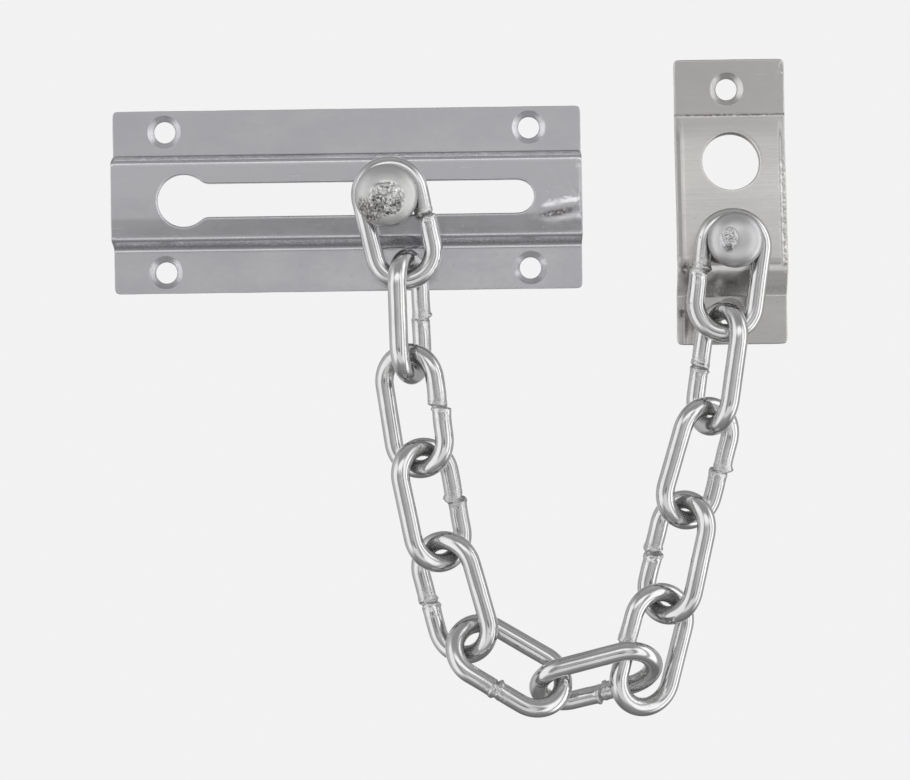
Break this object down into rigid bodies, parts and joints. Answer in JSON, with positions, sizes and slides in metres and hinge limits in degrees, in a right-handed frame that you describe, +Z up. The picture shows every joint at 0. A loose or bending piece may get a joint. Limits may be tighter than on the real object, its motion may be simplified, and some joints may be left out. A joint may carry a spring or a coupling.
{
  "type": "door chain guard",
  "caption": "Pressed slide plate with a keyhole slot, a sliding knob, a welded-link chain and a keeper plate with a fixed stud.",
  "frame": {"origin": "centre of the slide plate's four screw holes, on the face of the door", "axes": "+X along the slot towards the keeper plate, +Y into the door, +Z up; the part stands out towards -Y"},
  "size_m": [0.158, 0.0198, 0.153],
  "materials": {
    "slide_plate_zinc": "bright zinc plate, satin, faint drawn marks along the channel",
    "keeper_plate_zinc": "bright zinc plate over fine cross-brushed steel",
    "knob_zinc": "bright plate, peened and dimpled crown",
    "stud_zinc": "bright plate, smooth dome with small wear marks",
    "chain_chrome": "bright polished plate, rough butt welds, grey in the crotches"
  },
  "bodies": {
    "plates": {"slide_plate": "slide_plate_zinc", "keeper_plate": "keeper_plate_zinc", "keeper_stud": "stud_zinc"},
    "slider": {"slider_knob": "knob_zinc", "slider_foot": "knob_zinc"},
    "chain_01": {"link_01": "chain_chrome"},
    "chain_02": {"link_02": "chain_chrome"},
    "chain_03": {"link_03": "chain_chrome"},
    "chain_04": {"link_04": "chain_chrome"},
    "chain_05": {"link_05": "chain_chrome"},
    "chain_06": {"link_06": "chain_chrome"},
    "chain_07": {"link_07": "chain_chrome"},
    "chain_08": {"link_08": "chain_chrome"},
    "chain_09": {"link_09": "chain_chrome"},
    "chain_10": {"link_10": "chain_chrome"},
    "chain_11": {"link_11": "chain_chrome"},
    "chain_12": {"link_12": "chain_chrome"}
  },
  "joints": [
    {"name": "slider_slide", "type": "slide", "parent": "plates", "child": "slider", "axis": [1, 0, 0], "range_m": [-0.0474, 0.0302]},
    {"name": "link_01_swing", "type": "hinge", "parent": "slider", "child": "chain_01", "pos_m": [0.0094, -0.0098, 0], "axis": [0, -1, 0], "range_deg": [-5.9, 9.1]},
    {"name": "link_02_swing", "type": "hinge", "parent": "chain_01", "child": "chain_02", "pos_m": [0.0141, -0.0105, -0.0143], "axis": [0, -1, 0], "range_deg": [-8.2, 12.9]},
    {"name": "link_03_swing", "type": "hinge", "parent": "chain_02", "child": "chain_03", "pos_m": [0.0132, -0.0107, -0.0362], "axis": [0, -1, 0], "range_deg": [-8.2, 5.3]},
    {"name": "link_04_swing", "type": "hinge", "parent": "chain_03", "child": "chain_04", "pos_m": [0.0162, -0.0112, -0.0581], "axis": [0, -1, 0], "range_deg": [-2.3, 1.5]},
    {"name": "link_05_swing", "type": "hinge", "parent": "chain_04", "child": "chain_05", "pos_m": [0.0203, -0.0114, -0.0798], "axis": [0, -1, 0], "range_deg": [-0.3, 0.2]},
    {"name": "link_06_swing", "type": "hinge", "parent": "chain_05", "child": "chain_06", "pos_m": [0.0245, -0.0129, -0.1016], "axis": [0, -1, 0], "range_deg": [-9, 5.8]},
    {"name": "link_12_swing", "type": "hinge", "parent": "plates", "child": "chain_12", "pos_m": [0.0899, -0.0082, -0.0112], "axis": [0, -1, 0], "range_deg": [-19.7, 12.6]},
    {"name": "link_11_swing", "type": "hinge", "parent": "chain_12", "child": "chain_11", "pos_m": [0.0874, -0.0101, -0.0274], "axis": [0, -1, 0], "range_deg": [-0.2, 0.1]},
    {"name": "link_10_swing", "type": "hinge", "parent": "chain_11", "child": "chain_10", "pos_m": [0.0845, -0.0099, -0.0497], "axis": [0, -1, 0], "range_deg": [-4.7, 7.3]},
    {"name": "link_09_swing", "type": "hinge", "parent": "chain_10", "child": "chain_09", "pos_m": [0.0784, -0.0097, -0.0712], "axis": [0, -1, 0], "range_deg": [-0.5, 0.7]},
    {"name": "link_08_swing", "type": "hinge", "parent": "chain_09", "child": "chain_08", "pos_m": [0.0729, -0.0095, -0.0926], "axis": [0, -1, 0], "range_deg": [-5, 7.7]},
    {"name": "link_07_swing", "type": "hinge", "parent": "chain_08", "child": "chain_07", "pos_m": [0.0693, -0.0133, -0.1081], "axis": [0, -1, 0], "range_deg": [-3.8, 5.9]}
  ],
  "couplings": [
    {"joint": "link_01_swing", "follows": "slider_slide", "rad_per_m": -3.33},
    {"joint": "link_02_swing", "follows": "slider_slide", "rad_per_m": -4.7},
    {"joint": "link_03_swing", "follows": "slider_slide", "rad_per_m": 2.99},
    {"joint": "link_04_swing", "follows": "slider_slide", "rad_per_m": 0.8},
    {"joint": "link_05_swing", "follows": "slider_slide", "rad_per_m": 0.06},
    {"joint": "link_06_swing", "follows": "slider_slide", "rad_per_m": 3.27},
    {"joint": "link_07_swing", "follows": "slider_slide", "rad_per_m": -2.15},
    {"joint": "link_08_swing", "follows": "slider_slide", "rad_per_m": -2.81},
    {"joint": "link_09_swing", "follows": "slider_slide", "rad_per_m": -0.23},
    {"joint": "link_10_swing", "follows": "slider_slide", "rad_per_m": -2.65},
    {"joint": "link_11_swing", "follows": "slider_slide", "rad_per_m": 0.02},
    {"joint": "link_12_swing", "follows": "slider_slide", "rad_per_m": 7.21}
  ]
}
